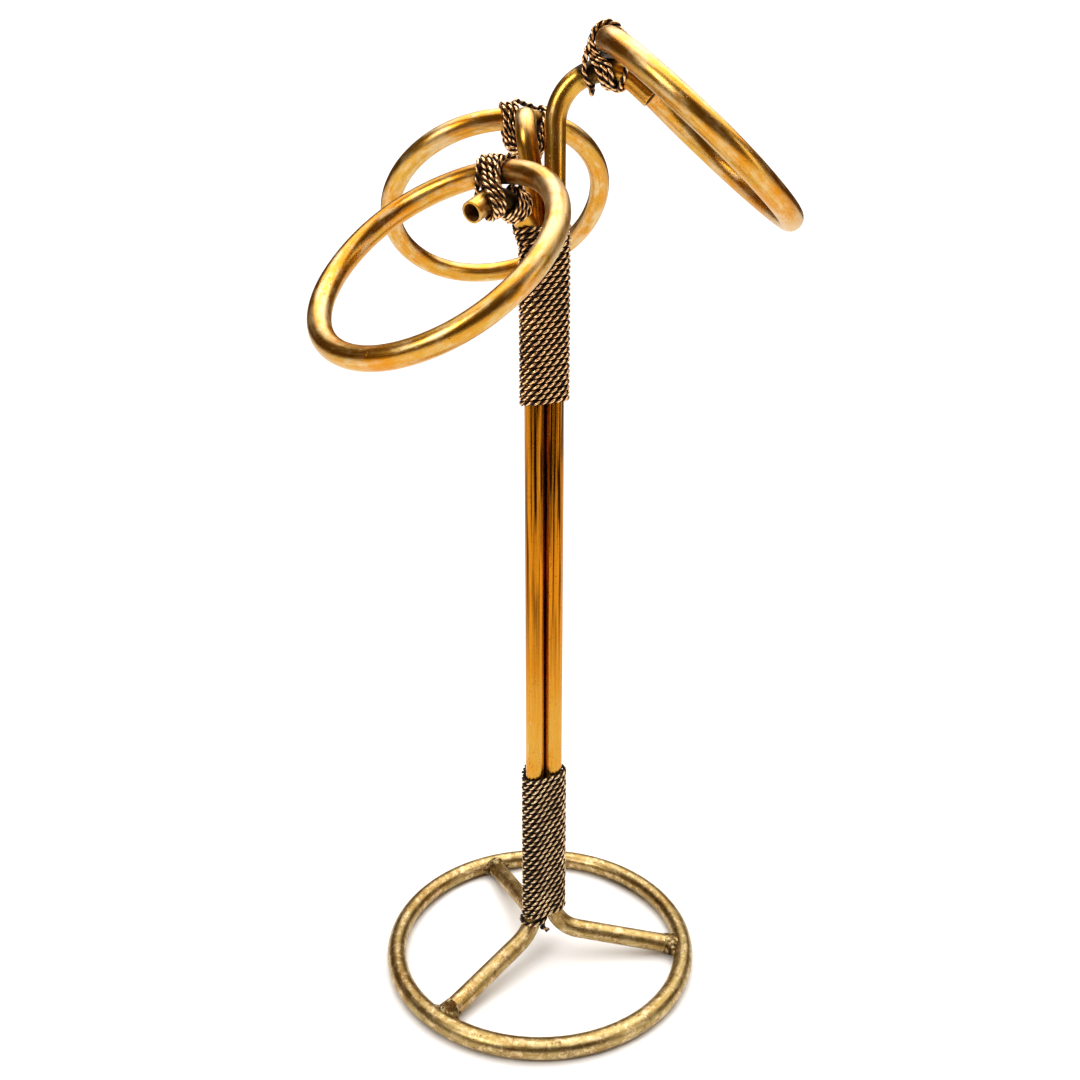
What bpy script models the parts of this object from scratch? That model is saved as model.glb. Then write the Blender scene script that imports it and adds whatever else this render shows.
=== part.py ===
"""Free-standing three-ring stand in aged brass tube, bound and lashed with twisted wire.

Three tubes stand side by side in a plumb stem.  Each one turns out at the bottom into a foot
that is brazed to the base ring, and hooks over at the top into an arm of its own height.
A wire lashing holds one ring to each arm.  Units are metres, +Z is up.  The origin is the
centre of the bottom of the whole stand's box.
"""
import math

import bmesh
import bpy
from mathutils import Matrix, Vector

MM = 0.001

# ---------------------------------------------------------------- driving dimensions
TUBE_R = 4.5 * MM               # stand tube, outside radius
TUBE_WALL = 1.0 * MM
RING_TUBE_R = 4.75 * MM         # tube of the three rings and of the base ring
GAP = 0.3 * MM                  # clearance between pieces that touch on the real stand
WIRE_R = 1.2 * MM               # twisted wire, outside radius over both strands

BASE_RING_R = 74.0 * MM         # base ring, centre line
STEM_OFFSET = Vector((1.0, 0.4, 0.0)) * MM   # stem axis from the base ring's centre
BUNDLE_SPACING = 2 * TUBE_R + GAP            # distance between tube axes in the stem

FOOT_BEND_R = 16.0 * MM         # bend at the bottom of the stem
FOOT_SLOPE = math.radians(9)    # fall of a foot towards the base ring
FOOT_JOINT_Z = 5.2 * MM         # height of a foot's axis where it meets the base ring

LOWER_BINDING = (27.0 * MM, 105.5 * MM)      # bottom and top height
UPPER_BINDING = (285.0 * MM, 362.0 * MM)
LOOSE_TURNS_Z = 352.0 * MM      # above this the upper binding widens round the lowest arm
LOOSE_SHIFT = 5.1 * MM

STACK = 10.2 * MM               # arm axis to ring tube axis at a lashing
LASH_TURNS = 3
LASH_PITCH = 2.65 * MM

BRAZE_LENGTH = 6.5 * MM
BRAZE_R = (5.35 * MM, 6.6 * MM)              # braze collar radius, stem side and ring side

# One entry for each stand tube: where it sits in the bundle, which way its foot and arm point,
# how far it leans sideways above the binding and between which heights, the height and radius
# of its hook, how far the hook turns, how far the arm reaches from the tube's axis, and where
# the ring crosses it.  Then the ring's radius and slope, the way it slopes down, and how far
# round from its highest point it is lashed.
TUBES = {
    "low": dict(seat=230, foot=-130, arm=-126, lean=(-2.5, 0.0), lean_z=(350.3, 368.0),
                hook_z=350.3, hook_r=20.0, sweep=115, reach=37.2, lash=20.0,
                ring_r=51.4, slope=41.6, facing=-129, round=-1.0),
    "middle": dict(seat=110, foot=113, arm=89.3, lean=(-5.4, 0.0), lean_z=(364.0, 404.0),
                   hook_z=391.9, hook_r=13.5, sweep=125, reach=42.0, lash=27.0,
                   ring_r=52.2, slope=40.0, facing=106.5, round=-5.0),
    "high": dict(seat=350, foot=-3, arm=-10, lean=(0.0, 0.0), lean_z=(380.0, 400.0),
                 hook_z=400.5, hook_r=20.0, sweep=131, reach=39.6, lash=21.0,
                 ring_r=51.2, slope=41.9, facing=-10, round=0.0),
}

TUBE_SIDES = 12
WIRE_SIDES = 6
RING_STEPS = 60
BASE_STEPS = 72


# ---------------------------------------------------------------- scene and materials
def clear_scene():
    for item in list(bpy.data.objects):
        bpy.data.objects.remove(item, do_unlink=True)


def make_collection(name):
    group = bpy.data.collections.new(name)
    bpy.context.scene.collection.children.link(group)
    return group


def make_material(name, colour, roughness, metallic=1.0):
    mat = bpy.data.materials.new(name)
    mat.use_nodes = True
    shader = mat.node_tree.nodes["Principled BSDF"]
    shader.inputs["Base Color"].default_value = (*colour, 1.0)
    shader.inputs["Roughness"].default_value = roughness
    shader.inputs["Metallic"].default_value = metallic
    mat.diffuse_color = (*colour, 1.0)
    return mat


def add_object(name, mesh, group, material, location=(0, 0, 0)):
    item = bpy.data.objects.new(name, mesh)
    group.objects.link(item)
    item.location = location
    mesh.materials.clear()
    mesh.materials.append(material)
    return item


def mesh_from_bmesh(name, bm):
    bmesh.ops.recalc_face_normals(bm, faces=bm.faces)
    mesh = bpy.data.meshes.new(name)
    bm.to_mesh(mesh)
    bm.free()
    return mesh


# ---------------------------------------------------------------- directions and routes
def heading(degrees):
    """Level unit vector at an azimuth, counted from +X towards +Y."""
    angle = math.radians(degrees)
    return Vector((math.cos(angle), math.sin(angle), 0.0))


def ring_half_width(spec, axis):
    """Half the width of a tilted ring along a world axis."""
    normal = ring_normal(spec)
    return spec["ring_r"] * MM * math.sqrt(1 - normal[axis] ** 2) + RING_TUBE_R


def ring_normal(spec):
    slope = math.radians(spec["slope"])
    return heading(spec["facing"]) * math.sin(slope) + Vector((0, 0, math.cos(slope)))


def ring_spoke(spec, turn):
    """Unit vectors from the ring's centre out to a place turned from its highest point, and
    along the ring's tube there."""
    slope = math.radians(spec["slope"])
    down = heading(spec["facing"]) * math.cos(slope) - Vector((0, 0, math.sin(slope)))
    side = Vector((0, 0, 1)).cross(heading(spec["facing"]))
    spoke = side * math.sin(turn) - down * math.cos(turn)
    bar = side * math.cos(turn) + down * math.sin(turn)
    return spoke, bar


def arm_profile(spec, reach):
    """Distance out, height and direction angle of the arm's axis where it has come out so far."""
    radius = spec["hook_r"] * MM
    sweep = math.radians(spec["sweep"])
    arc_out = radius * (1 - math.cos(sweep))
    if reach <= arc_out:
        turn = math.acos(1 - reach / radius)
        return reach, spec["hook_z"] * MM + radius * math.sin(turn), turn
    run = (reach - arc_out) / math.sin(sweep)
    top = spec["hook_z"] * MM + radius * math.sin(sweep)
    return reach, top + run * math.cos(sweep), sweep


def arm_along(spec, start_reach, travel):
    """Point on the arm's axis a given travel along it from the point at start_reach."""
    radius = spec["hook_r"] * MM
    sweep = math.radians(spec["sweep"])
    _, _, turn = arm_profile(spec, start_reach)
    arc_out = radius * (1 - math.cos(sweep))
    run = max(0.0, (start_reach - arc_out) / math.sin(sweep))
    length = radius * turn + run + travel
    if length <= radius * sweep:
        turn = length / radius
        out = radius * (1 - math.cos(turn))
        height = spec["hook_z"] * MM + radius * math.sin(turn)
        return out, height, turn
    run = length - radius * sweep
    out = arc_out + run * math.sin(sweep)
    height = spec["hook_z"] * MM + radius * math.sin(sweep) + run * math.cos(sweep)
    return out, height, sweep


def arm_frame(spec, point):
    """World position, outward tangent and upward normal of a point on the arm's axis."""
    out, height, turn = point
    way = heading(spec["arm"])
    leaning = lean(spec, height) if turn < math.pi / 2 else lean(spec, math.inf)
    place = seat(spec) + leaning + way * out + Vector((0, 0, height))
    tangent = way * math.sin(turn) + Vector((0, 0, math.cos(turn)))
    normal = Vector((0, 0, math.sin(turn))) - way * math.cos(turn)
    return place, tangent, normal


def lean(spec, height):
    """Sideways shift of the tube's axis at a height on its way up."""
    low, high = spec["lean_z"]
    part = min(max((height / MM - low) / (high - low), 0.0), 1.0)
    return Vector((*spec["lean"], 0.0)) * MM * part * part * (3 - 2 * part)


def crossing(spec):
    """Centre of the ring's tube where it lies across the arm."""
    place, _, normal = arm_frame(spec, arm_profile(spec, spec["lash"] * MM))
    return place + normal * STACK


def ring_centre(spec):
    spoke, _ = ring_spoke(spec, math.radians(spec["round"]))
    return crossing(spec) - spoke * spec["ring_r"] * MM


def seat(spec):
    """Where the tube's axis stands in the bundle, at ground height."""
    return BASE_CENTRE + STEM_OFFSET + heading(spec["seat"]) * (BUNDLE_SPACING / math.sqrt(3))


def frame_offset():
    """Base ring centre that puts the middle of the whole stand's box over the origin."""
    low = Vector((-BASE_RING_R - RING_TUBE_R,) * 2 + (0.0,))
    high = -low
    for spec in TUBES.values():
        centre = ring_centre(spec)
        for axis in (0, 1):
            half = ring_half_width(spec, axis)
            low[axis] = min(low[axis], centre[axis] - half)
            high[axis] = max(high[axis], centre[axis] + half)
    return -(low + high) / 2


def foot_length(spec):
    """Level distance from the tube's axis to the base ring's centre line along the foot."""
    start = seat(spec) - BASE_CENTRE
    way = heading(spec["foot"])
    along = start.dot(way)
    return -along + math.sqrt(along ** 2 + BASE_RING_R ** 2 - start.length_squared)


def foot_points(spec, steps=7):
    """Foot axis from its tip to the bottom of the straight stem."""
    tip = foot_length(spec) - RING_TUBE_R - GAP
    turn = math.pi / 2 - FOOT_SLOPE
    bend_out = FOOT_BEND_R * (1 - math.cos(turn))
    bend_low = FOOT_JOINT_Z + (tip - bend_out) * math.tan(FOOT_SLOPE)
    bend_z = bend_low + FOOT_BEND_R * math.sin(turn)
    way = heading(spec["foot"])
    flat = [(tip, FOOT_JOINT_Z)]
    for step in range(steps + 1):
        angle = turn * (1 - step / steps)
        flat.append((FOOT_BEND_R * (1 - math.cos(angle)), bend_z - FOOT_BEND_R * math.sin(angle)))
    return [seat(spec) + way * out + Vector((0, 0, height)) for out, height in flat]


def lean_points(spec, steps=6):
    """Stem axis where it leans below the hook."""
    low, high = spec["lean_z"][0], spec["hook_z"]
    if high - low < 1 or not any(spec["lean"]):
        return []
    heights = [(low + (high - low) * step / steps) * MM for step in range(steps)]
    return [seat(spec) + lean(spec, z) + Vector((0, 0, z)) for z in heights]


def arm_points(spec, steps=12):
    """Arm axis from the top of the straight stem to the cut end."""
    radius = spec["hook_r"] * MM
    sweep = math.radians(spec["sweep"])
    points = []
    for step in range(steps + 1):
        angle = sweep * step / steps
        out = radius * (1 - math.cos(angle))
        points.append((out, spec["hook_z"] * MM + radius * math.sin(angle), angle))
    points.append(arm_profile(spec, spec["reach"] * MM))
    return [arm_frame(spec, point)[0] for point in points]


# ---------------------------------------------------------------- shapes
def swept_mesh(name, points, radius, sides, caps=True):
    """Round bar along a route, from a curve with a bevel."""
    curve = bpy.data.curves.new(name, "CURVE")
    curve.dimensions = "3D"
    curve.bevel_depth = radius
    curve.bevel_resolution = sides // 2 - 2
    curve.use_fill_caps = caps
    spline = curve.splines.new("POLY")
    spline.points.add(len(points) - 1)
    for slot, place in zip(spline.points, points):
        slot.co = (*place, 1.0)
    holder = bpy.data.objects.new(name, curve)
    bpy.context.scene.collection.objects.link(holder)
    graph = bpy.context.evaluated_depsgraph_get()
    mesh = bpy.data.meshes.new_from_object(holder.evaluated_get(graph))
    bpy.data.objects.remove(holder, do_unlink=True)
    bm = bmesh.new()
    bm.from_mesh(mesh)
    bmesh.ops.remove_doubles(bm, verts=bm.verts, dist=1e-6)
    return mesh_from_bmesh(name, bm)


def tube_mesh(name, points):
    """Open-ended tube: a bar's skin given its wall by Solidify."""
    skin = swept_mesh(name, points, TUBE_R, TUBE_SIDES, caps=False)
    holder = bpy.data.objects.new(name, skin)
    bpy.context.scene.collection.objects.link(holder)
    wall = holder.modifiers.new("wall", "SOLIDIFY")
    wall.thickness = TUBE_WALL
    wall.offset = -1
    graph = bpy.context.evaluated_depsgraph_get()
    mesh = bpy.data.meshes.new_from_object(holder.evaluated_get(graph))
    bpy.data.objects.remove(holder, do_unlink=True)
    return mesh


def torus_mesh(name, ring_radius, tube_radius, steps, sides=TUBE_SIDES):
    """Ring of round tube, spun from its section, with a flat facet underneath."""
    bm = bmesh.new()
    section = bmesh.ops.create_circle(bm, segments=sides, radius=tube_radius)
    turn = Matrix.Rotation(math.pi / sides, 4, "Z")
    stand = Matrix.Rotation(math.pi / 2, 4, "X")
    place = Matrix.Translation((ring_radius, 0, 0))
    bmesh.ops.transform(bm, matrix=place @ stand @ turn, verts=section["verts"])
    edges = list(bm.edges)
    bmesh.ops.spin(bm, geom=list(bm.verts) + edges, axis=(0, 0, 1), angle=2 * math.pi,
                   steps=steps, use_merge=True)
    bmesh.ops.remove_doubles(bm, verts=bm.verts, dist=1e-6)
    return mesh_from_bmesh(name, bm)


def bundle_hull(name, radius, low, high, extra=()):
    """Rounded three-cornered prism round the stem's tubes."""
    bm = bmesh.new()
    centres = [seat(spec) for spec in TUBES.values()] + list(extra)
    for centre in centres:
        place = Matrix.Translation((centre.x, centre.y, (low + high) / 2))
        bmesh.ops.create_cone(bm, cap_ends=True, segments=24, radius1=radius, radius2=radius,
                              depth=high - low, matrix=place)
    hull = bmesh.ops.convex_hull(bm, input=list(bm.verts))
    inside = [item for item in hull["geom_interior"] if isinstance(item, bmesh.types.BMVert)]
    bmesh.ops.delete(bm, geom=inside, context="VERTS")
    skin = {face for face in hull["geom"] if isinstance(face, bmesh.types.BMFace)}
    old = [face for face in bm.faces if face not in skin]
    bmesh.ops.delete(bm, geom=old, context="FACES")
    loose = [vert for vert in bm.verts if not vert.link_faces]
    bmesh.ops.delete(bm, geom=loose, context="VERTS")
    bmesh.ops.dissolve_limit(bm, angle_limit=math.radians(1), verts=bm.verts, edges=bm.edges)
    return mesh_from_bmesh(name, bm)


def boolean(target, tool, operation="DIFFERENCE"):
    cut = target.modifiers.new(tool.name, "BOOLEAN")
    cut.operation = operation
    cut.solver = "EXACT"
    cut.object = tool


def bake_modifiers(item):
    graph = bpy.context.evaluated_depsgraph_get()
    mesh = bpy.data.meshes.new_from_object(item.evaluated_get(graph))
    material = item.data.materials[0]
    item.modifiers.clear()
    item.data = mesh
    mesh.materials.clear()
    mesh.materials.append(material)


def add_cutter(name, mesh):
    tool = bpy.data.objects.new(name, mesh)
    CUTTERS.objects.link(tool)
    tool.display_type = "WIRE"
    tool.hide_render = True
    return tool


# ---------------------------------------------------------------- pieces
def build_base_ring():
    mesh = torus_mesh("base_ring", BASE_RING_R, RING_TUBE_R, BASE_STEPS)
    add_object("base_ring", mesh, PARTS, BASE_BRASS, BASE_CENTRE + Vector((0, 0, BASE_LIFT)))


def build_tube(name, spec):
    points = foot_points(spec) + lean_points(spec) + arm_points(spec)
    add_object(f"tube_{name}", tube_mesh(f"tube_{name}", points), PARTS, TUBE_BRASS)


def build_braze(name, spec):
    """Collar of braze round the foot's tip, coped to the base ring and clear of the floor."""
    tip, behind = foot_points(spec)[:2]
    way = (tip - behind).normalized()
    middle = tip + way * (0.4 * MM - BRAZE_LENGTH / 2)
    spin = Vector((0, 0, 1)).rotation_difference(way).to_matrix().to_4x4()
    bm = bmesh.new()
    bmesh.ops.create_cone(bm, cap_ends=True, segments=20, radius1=BRAZE_R[0], radius2=BRAZE_R[1],
                          depth=BRAZE_LENGTH, matrix=Matrix.Translation(middle) @ spin)
    bmesh.ops.bisect_plane(bm, geom=list(bm.verts) + list(bm.edges) + list(bm.faces),
                           plane_co=(0, 0, GAP), plane_no=(0, 0, 1), clear_inner=True)
    rim = [edge for edge in bm.edges if len(edge.link_faces) == 1]
    bmesh.ops.contextual_create(bm, geom=rim)
    collar = add_object(f"braze_{name}", mesh_from_bmesh(f"braze_{name}", bm), PARTS, BRAZE)
    bore = swept_mesh(f"cut_bore_{name}", [behind, tip + way * 5 * MM], TUBE_R + GAP, 24)
    boolean(collar, add_cutter(f"cut_bore_{name}", bore))
    ring = torus_mesh(f"cut_ring_{name}", BASE_RING_R, RING_TUBE_R + 1.3 * GAP, 144, 24)
    cutter = add_cutter(f"cut_ring_{name}", ring)
    cutter.location = BASE_CENTRE + Vector((0, 0, BASE_LIFT))
    bpy.context.view_layer.update()
    boolean(collar, cutter)
    bake_modifiers(collar)


def build_bindings():
    """The two stem bindings, as closed sleeves of the wound wire's outer shape."""
    bore, skin = TUBE_R + GAP, TUBE_R + GAP + 2 * WIRE_R - 0.2 * MM
    low, high = LOWER_BINDING
    sleeve = add_object("lower_binding", bundle_hull("lower_binding", skin, low, high), PARTS, WIRE)
    boolean(sleeve, add_cutter("cut_lower", bundle_hull("cut_lower", bore, low - MM, high + MM)))
    bake_modifiers(sleeve)

    low, high = UPPER_BINDING
    leant = seat(TUBES["low"]) + lean(TUBES["low"], high + 2 * MM)
    loose = [leant, leant + heading(TUBES["low"]["arm"]) * LOOSE_SHIFT]
    straight = bundle_hull("upper_binding", skin, low, LOOSE_TURNS_Z)
    sleeve = add_object("upper_binding", straight, PARTS, WIRE)
    collar = bundle_hull("join_upper", skin, LOOSE_TURNS_Z - MM, high, loose)
    boolean(sleeve, add_cutter("join_upper", collar), "UNION")
    inner = bundle_hull("cut_upper", bore, low - MM, high + MM)
    boolean(sleeve, add_cutter("cut_upper", inner))
    wide = bundle_hull("cut_upper_top", bore, LOOSE_TURNS_Z - 2 * MM, high + MM, loose)
    boolean(sleeve, add_cutter("cut_upper_top", wide))
    bake_modifiers(sleeve)


def build_last_turn():
    """One turn of the lower binding's wire that goes round the front tube alone."""
    spec = TUBES["low"]
    bend = foot_points(spec)
    place = (bend[-3] + bend[-4]) / 2
    way = ((bend[-3] - bend[-4]).normalized() + Vector((0, 0, 1))).normalized()
    mesh = torus_mesh("binding_last_turn", TUBE_R + WIRE_R + 2 * GAP, WIRE_R, 32, 8)
    spin = Vector((0, 0, 1)).rotation_difference(way).to_matrix().to_4x4()
    mesh.transform(spin)
    add_object("binding_last_turn", mesh, PARTS, WIRE, place)


def lashing_points(spec):
    """Square lashing: the wire goes over the ring beside the arm and under the arm beside the ring."""
    ring_hug = RING_TUBE_R + WIRE_R + 0.4 * MM
    arm_hug = TUBE_R + WIRE_R + 0.35 * MM
    inner_pitch = LASH_PITCH * spec["hook_r"] * MM / (spec["hook_r"] * MM - arm_hug)
    side = Vector((0, 0, 1)).cross(heading(spec["arm"]))
    place, tangent, normal = arm_frame(spec, arm_profile(spec, spec["lash"] * MM))
    radius = spec["ring_r"] * MM
    side_between = (side + ring_spoke(spec, math.radians(spec["round"]))[1]).normalized()
    out_between = side_between.cross(normal).normalized()
    out_between *= 1 if out_between.dot(tangent) > 0 else -1

    def over_ring(offset, sign, forward):
        """Half turn over the ring, sign side of the arm, from inboard to outboard if forward."""
        spoke, bar = ring_spoke(spec, math.radians(spec["round"]) + sign * offset / radius)
        centre = ring_centre(spec) + spoke * radius
        rise = (normal - bar * normal.dot(bar)).normalized()
        out = bar.cross(rise)
        out *= 1 if out.dot(tangent) > 0 else -1
        angles = [math.pi * step / 8 for step in range(9)]
        if forward:
            angles.reverse()
        return [centre + out * ring_hug * math.cos(a) + rise * ring_hug * math.sin(a)
                for a in angles]

    def under_arm(travel, hug, sign):
        """Half turn under the arm, from the sign side to the other."""
        centre, _, up = arm_frame(spec, arm_along(spec, spec["lash"] * MM, travel))
        angles = [math.pi * step / 8 for step in range(9)]
        return [centre + side * sign * hug * math.cos(a) - up * hug * math.sin(a) for a in angles]

    def post(turn, out_sign, side_sign):
        """Point half way down a corner, pushed out so that the turns lie side by side."""
        spread = 0.74 * LASH_PITCH * turn
        along = out_between * out_sign + side_between * side_sign
        return place + normal * STACK / 2 + along * (ring_hug + spread)

    points = []
    for turn in range(LASH_TURNS):
        beside = ring_hug + LASH_PITCH * turn
        stacked = turn == 2
        inboard = ring_hug + inner_pitch * (0.5 if stacked else turn)
        inner_hug = arm_hug + (0.9 * LASH_PITCH if stacked else 0.0)
        points += over_ring(beside, 1, True)
        points.append(post(turn, 1, 1))
        points += under_arm(beside, arm_hug, 1)
        points.append(post(turn, 1, -1))
        points += over_ring(beside, -1, False)
        points.append(post(turn, -1, -1))
        points += under_arm(-inboard, inner_hug, -1)
        if turn < LASH_TURNS - 1:
            points.append(post(turn + 0.5, -1, 1))
    return points


def build_lashing(name, spec):
    mesh = swept_mesh(f"lashing_{name}", lashing_points(spec), WIRE_R, WIRE_SIDES)
    add_object(f"lashing_{name}", mesh, PARTS, WIRE)


def build_ring(name, spec):
    """Ring with its origin on the hinge axis, at the centre of its tube over the arm."""
    radius = spec["ring_r"] * MM
    mesh = torus_mesh(f"ring_{name}", radius, RING_TUBE_R, RING_STEPS)
    tilt = Vector((0, 0, 1)).rotation_difference(ring_normal(spec)).to_matrix().to_4x4()
    mesh.transform(Matrix.Translation(ring_centre(spec) - crossing(spec)) @ tilt)
    add_object(f"ring_{name}", mesh, PARTS, RING_BRASS, crossing(spec))


# ---------------------------------------------------------------- the stand
clear_scene()
PARTS = make_collection("three_ring_stand")
CUTTERS = make_collection("cutters")

RING_BRASS = make_material("ring_brass", (0.66, 0.45, 0.17), 0.30)
TUBE_BRASS = make_material("tube_brass", (0.60, 0.38, 0.13), 0.28)
BASE_BRASS = make_material("base_brass", (0.50, 0.39, 0.20), 0.42)
BRAZE = make_material("braze", (0.36, 0.28, 0.17), 0.60)
WIRE = make_material("twisted_wire", (0.34, 0.23, 0.12), 0.40)

BASE_LIFT = RING_TUBE_R * math.cos(math.pi / TUBE_SIDES)
BASE_CENTRE = Vector((0, 0, 0))
BASE_CENTRE = frame_offset()

build_base_ring()
for tube_name, tube_spec in TUBES.items():
    build_tube(tube_name, tube_spec)
    build_braze(tube_name, tube_spec)
build_bindings()
build_last_turn()
for tube_name, tube_spec in TUBES.items():
    build_lashing(tube_name, tube_spec)
    build_ring(tube_name, tube_spec)
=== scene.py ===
"""Looks of a free-standing three-ring stand in aged brass, bound and lashed with twisted wire.

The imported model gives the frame.  This file gives every piece its finished surface: round tube
with worn, pitted brass, two-strand wire wound turn by turn, rough braze, and a plain pale stage.
"""
import math

import bmesh
import bpy
from bpy.props import FloatProperty, FloatVectorProperty, IntProperty, PointerProperty
from mathutils import Matrix, Vector, kdtree, noise


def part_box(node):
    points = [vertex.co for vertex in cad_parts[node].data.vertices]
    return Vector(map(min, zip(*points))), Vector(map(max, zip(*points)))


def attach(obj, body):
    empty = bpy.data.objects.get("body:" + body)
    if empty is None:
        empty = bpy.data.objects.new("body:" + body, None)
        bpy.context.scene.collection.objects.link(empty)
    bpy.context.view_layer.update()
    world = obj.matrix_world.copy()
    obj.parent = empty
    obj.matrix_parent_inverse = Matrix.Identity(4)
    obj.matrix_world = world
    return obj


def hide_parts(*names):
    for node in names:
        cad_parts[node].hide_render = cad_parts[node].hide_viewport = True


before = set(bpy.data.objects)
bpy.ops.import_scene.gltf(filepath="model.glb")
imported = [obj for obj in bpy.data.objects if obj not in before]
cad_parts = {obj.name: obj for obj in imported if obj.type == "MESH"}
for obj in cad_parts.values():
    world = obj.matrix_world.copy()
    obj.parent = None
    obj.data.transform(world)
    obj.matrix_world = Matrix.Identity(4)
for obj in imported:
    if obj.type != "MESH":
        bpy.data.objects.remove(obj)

bl_info = {
    "name": "Three-Ring Stand",
    "version": (1, 0, 0),
    "blender": (4, 5, 0),
    "location": "3D View > Sidebar > Ring Stand",
    "description": "Brass tube stand with lashed rings, twisted wire bindings and a plain stage",
    "category": "Add Mesh",
}

MM = 0.001
UP = Vector((0, 0, 1))

# ---------------------------------------------------------------- layout shared with the frame
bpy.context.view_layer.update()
BASE_LOW, BASE_HIGH = (Vector(corner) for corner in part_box("base_ring"))
BASE_CENTRE = Vector(((BASE_LOW.x + BASE_HIGH.x) / 2, (BASE_LOW.y + BASE_HIGH.y) / 2, 0))
STEM = BASE_CENTRE + Vector((1.0, 0.4, 0.0)) * MM
GAP = 0.3 * MM                  # between tubes that lie side by side
FOOT_BEND_R = 16.0 * MM         # bend from the stem into each foot, on its axis
FOOT_SLOPE = math.radians(9)
FOOT_JOINT_Z = 5.2 * MM         # height of a foot's axis at its tip
STACK = 10.2 * MM               # from an arm's axis up to the axis of the ring on it

# Where each tube stands in the bundle, the headings of its foot and arm, how far and between which
# heights it leans, its hook's height, radius and turn, its reach and where the ring crosses it.
# Then the ring's radius, slope and facing, and how far round from its highest point it is lashed.
TUBES = {
    "low": dict(seat=230, foot=-130, arm=-126, lean=(-2.5, 0.0), lean_z=(350.3, 368.0),
                hook_z=350.3, hook_r=20.0, sweep=115, reach=37.2, lash=20.0,
                ring_r=51.4, slope=41.6, facing=-129, round=-1.0),
    "middle": dict(seat=110, foot=113, arm=89.3, lean=(-5.4, 0.0), lean_z=(364.0, 404.0),
                   hook_z=391.9, hook_r=13.5, sweep=125, reach=42.0, lash=27.0,
                   ring_r=52.2, slope=40.0, facing=106.5, round=-5.0),
    "high": dict(seat=350, foot=-3, arm=-10, lean=(0.0, 0.0), lean_z=(380.0, 400.0),
                 hook_z=400.5, hook_r=20.0, sweep=131, reach=39.6, lash=21.0,
                 ring_r=51.2, slope=41.9, facing=-10, round=0.0),
}


# ---------------------------------------------------------------- sizes and colours
def length(name, description, default):
    return FloatProperty(name=name, description=description, default=default, unit="LENGTH",
                         min=0.0, precision=5)


def colour(name, description, default):
    return FloatVectorProperty(name=name, description=description, default=default,
                               subtype="COLOR", size=3, min=0.0, max=1.0)


class StandSizes(bpy.types.PropertyGroup):
    tube: length("Stand tube", "Outside radius of the three stand tubes", 4.5 * MM)
    wall: length("Tube wall", "Wall of the stand tubes", 1.0 * MM)
    hoop: length("Ring tube", "Outside radius of the rings' tube", 4.75 * MM)
    base: length("Base ring", "Centre-line radius of the base ring", 74.0 * MM)
    wire: length("Wire", "Outside radius of the two-strand wire", 1.2 * MM)
    lay: length("Lay", "Length in which the strands go once round each other", 7.0 * MM)
    lower_turns: IntProperty(name="Lower turns", description="Turns in the lower binding", default=30)
    upper_turns: IntProperty(name="Upper turns", description="Turns in the upper binding", default=32)


class StandColours(bpy.types.PropertyGroup):
    gold: colour("Gold", "Rubbed brass on the rings", (0.54, 0.322, 0.062))
    amber: colour("Amber", "Deep lacquered brass of the rings and stem", (0.56, 0.215, 0.008))
    cream: colour("Cream", "Silvery wear where the lacquer is gone", (0.66, 0.53, 0.32))
    olive: colour("Olive", "Dull brass of the base ring and feet", (0.41, 0.315, 0.135))
    ochre: colour("Ochre", "Deep tone of the base ring and feet", (0.30, 0.175, 0.045))
    umber: colour("Umber", "Brown spots of the base ring and feet", (0.20, 0.095, 0.030))
    brown: colour("Brown", "Patina in pits and along joints", (0.10, 0.048, 0.014))
    # Dark lengthwise lines on the stem: tarnish and a painted reflection of a dark room.
    tarnish_and_reflection: colour("Tarnish", "Dark lengthwise streaks on the stem", (0.030, 0.008, 0.001))
    rust: colour("Rust", "Scale inside the cut tubes", (0.30, 0.115, 0.03))
    strand: colour("Strand", "Body of the wire's strands", (0.15, 0.062, 0.018))
    # Wire colours: the bright crowns, paler on the lower binding, are rubbed wear with a painted
    # highlight. The black is painted shade in the wire's grooves and on sides facing inward, soot
    # with painted shade round the lashings, and dark grime and braze holes elsewhere.
    lit_crown: colour("Crown", "Rubbed crowns of the strands", (0.88, 0.58, 0.31))
    silver: colour("Silver", "Paler crowns of the lower binding", (0.88, 0.68, 0.43))
    black: colour("Soot", "Black in the wire's grooves", (0.006, 0.004, 0.003))
    floor: colour("Floor", "Stage floor", (0.94, 0.94, 0.94))


# ---------------------------------------------------------------- directions and routes
def heading(degrees):
    """Level direction, turned from +X."""
    angle = math.radians(degrees)
    return Vector((math.cos(angle), math.sin(angle), 0.0))


def seat(spec):
    """Middle of a tube's place in the stem, on the floor."""
    spacing = 2 * sizes().tube + GAP
    return STEM + heading(spec["seat"]) * (spacing / math.sqrt(3))


def lean(spec, height):
    """Sideways shift of the tube's axis at a height on its way up."""
    low, high = spec["lean_z"]
    part = min(max((height / MM - low) / (high - low), 0.0), 1.0)
    return Vector((*spec["lean"], 0.0)) * MM * part * part * (3 - 2 * part)


def arm_turn_at(spec, reach):
    """Travel along the arm's axis from the top of the stem to a given reach."""
    radius, sweep = spec["hook_r"] * MM, math.radians(spec["sweep"])
    arc_out = radius * (1 - math.cos(sweep))
    if reach <= arc_out:
        return radius * math.acos(1 - reach / radius)
    return radius * sweep + (reach - arc_out) / math.sin(sweep)


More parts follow.
